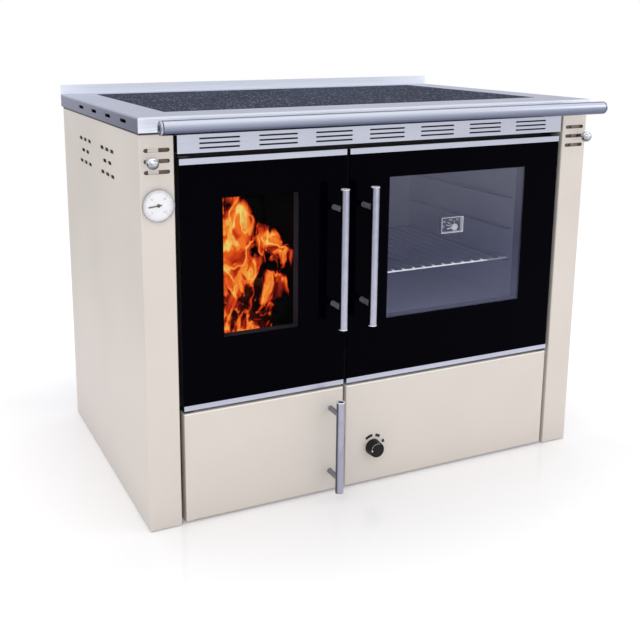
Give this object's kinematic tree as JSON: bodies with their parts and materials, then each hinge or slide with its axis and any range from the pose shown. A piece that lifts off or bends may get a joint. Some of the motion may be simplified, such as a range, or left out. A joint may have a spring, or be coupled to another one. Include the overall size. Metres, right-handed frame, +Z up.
{
  "type": "boiler stove",
  "caption": "Free-standing wood-fired boiler cooker with a glazed fire door, a glazed oven door, an ash door, a flush hob in a steel frame and a front rail.",
  "frame": {"origin": "middle of the footprint, on the floor", "axes": "+X to the right as seen from the front, +Y to the back, +Z up"},
  "size_m": [1.085, 0.814, 0.8736],
  "materials": {
    "cream_enamel": "satin enamel",
    "stainless_sheet": "fine brushed",
    "rail_steel": "polished",
    "hob_ceramic": "speckled glass ceramic",
    "printed_glass": "black print behind glass",
    "clear_glass": "clear",
    "rope_seal": "woven rope",
    "black_steel": "matt black",
    "boiler_steel": "matt dark grey",
    "galvanised": "zinc plated",
    "grate_iron": "as cast",
    "oven_enamel": "glossy enamel",
    "rack_chrome": "bright",
    "ball_chrome": "bright",
    "thermo_metal": "satin",
    "black_plastic": "satin black",
    "grey_plastic": "matt",
    "foot_rubber": "matt",
    "gauge_grey": "satin",
    "dial_white": "matt print",
    "pointer_black": "matt"
  },
  "bodies": {
    "stove": {"side_panel_left": "cream_enamel", "side_panel_right": "cream_enamel", "back_panel": "galvanised", "base_plate": "galvanised", "levelling_feet": "foot_rubber", "front_frame": "black_steel", "top_frame": "stainless_sheet", "hob_plate": "hob_ceramic", "hob_seal": "rope_seal", "rail_tube": "rail_steel", "rail_end_caps": "rail_steel", "rail_brackets": "rail_steel", "vent_fascia": "stainless_sheet", "vent_screen": "galvanised", "lower_panel": "cream_enamel", "hinge_brackets": "black_steel", "door_catches": "grey_plastic", "boiler_outer_shell": "boiler_steel", "boiler_inner_shell": "boiler_steel", "boiler_sockets": "galvanised", "grate_frame": "boiler_steel", "grate": "grate_iron", "ash_box": "boiler_steel", "ash_pan": "galvanised", "smoke_chest": "boiler_steel", "flue_collar": "boiler_steel", "oven_box": "oven_enamel", "rack_runners": "rack_chrome", "oven_rack": "rack_chrome", "gauge_case": "gauge_grey", "gauge_dial": "dial_white", "gauge_glass": "clear_glass", "slide_guides": "black_steel", "thermostat_body": "grey_plastic"},
    "fire_door": {"fire_door_frame": "black_steel", "fire_door_glass": "printed_glass", "fire_door_inner_glass": "clear_glass", "fire_door_seal": "rope_seal", "fire_door_trims": "stainless_sheet", "fire_door_handle": "rail_steel"},
    "oven_door": {"oven_door_frame": "black_steel", "oven_door_glass": "printed_glass", "oven_door_inner_glass": "clear_glass", "oven_door_seal": "rope_seal", "oven_door_trims": "stainless_sheet", "oven_door_handle": "rail_steel", "oven_thermometer": "thermo_metal"},
    "ash_door": {"ash_door_panel": "cream_enamel", "ash_door_liner": "galvanised", "ash_door_seal": "rope_seal", "ash_door_handle": "rail_steel"},
    "left_slide": {"left_slide_plate": "cream_enamel", "left_slide_knob": "ball_chrome"},
    "right_slide": {"right_slide_plate": "black_steel", "right_slide_knob": "ball_chrome"},
    "thermostat_dial": {"thermostat_knob": "black_plastic"},
    "draught_flap": {"air_flap": "boiler_steel"},
    "gauge_pointer": {"gauge_needle": "pointer_black"},
    "oven_pointer": {"oven_needle": "pointer_black"}
  },
  "joints": [
    {"name": "fire_door_swing", "type": "hinge", "parent": "stove", "child": "fire_door", "pos_m": [-0.452, -0.311, 0.509], "axis": [0, 0, -1], "range_deg": [0, 95]},
    {"name": "oven_door_swing", "type": "hinge", "parent": "stove", "child": "oven_door", "pos_m": [0.452, -0.311, 0.509], "axis": [0, 0, 1], "range_deg": [0, 95]},
    {"name": "ash_door_swing", "type": "hinge", "parent": "stove", "child": "ash_door", "pos_m": [-0.452, -0.311, 0.125], "axis": [0, 0, -1], "range_deg": [0, 95]},
    {"name": "left_air_slide", "type": "slide", "parent": "stove", "child": "left_slide", "axis": [1, 0, 0], "range_m": [-0.0055, 0.027]},
    {"name": "right_air_slide", "type": "slide", "parent": "stove", "child": "right_slide", "axis": [1, 0, 0], "range_m": [-0.024, 0.009]},
    {"name": "thermostat_turn", "type": "hinge", "parent": "stove", "child": "thermostat_dial", "pos_m": [-0.0175, -0.323, 0.0875], "axis": [0, 1, 0], "range_deg": [0, 180]},
    {"name": "draught_flap_lift", "type": "hinge", "parent": "stove", "child": "draught_flap", "pos_m": [-0.1627, -0.133, 0.218], "axis": [0, -1, 0], "range_deg": [0, 45]},
    {"name": "gauge_pointer_turn", "type": "hinge", "parent": "stove", "child": "gauge_pointer", "pos_m": [-0.506, -0.323, 0.6803], "axis": [0, 1, 0], "range_deg": [-38, 232]},
    {"name": "oven_pointer_turn", "type": "hinge", "parent": "oven_door", "child": "oven_pointer", "pos_m": [0.1915, -0.3075, 0.573], "axis": [0, 1, 0], "range_deg": [-13, 135]}
  ],
  "couplings": [
    {"joint": "draught_flap_lift", "follows": "thermostat_turn", "ratio": 0.25}
  ]
}
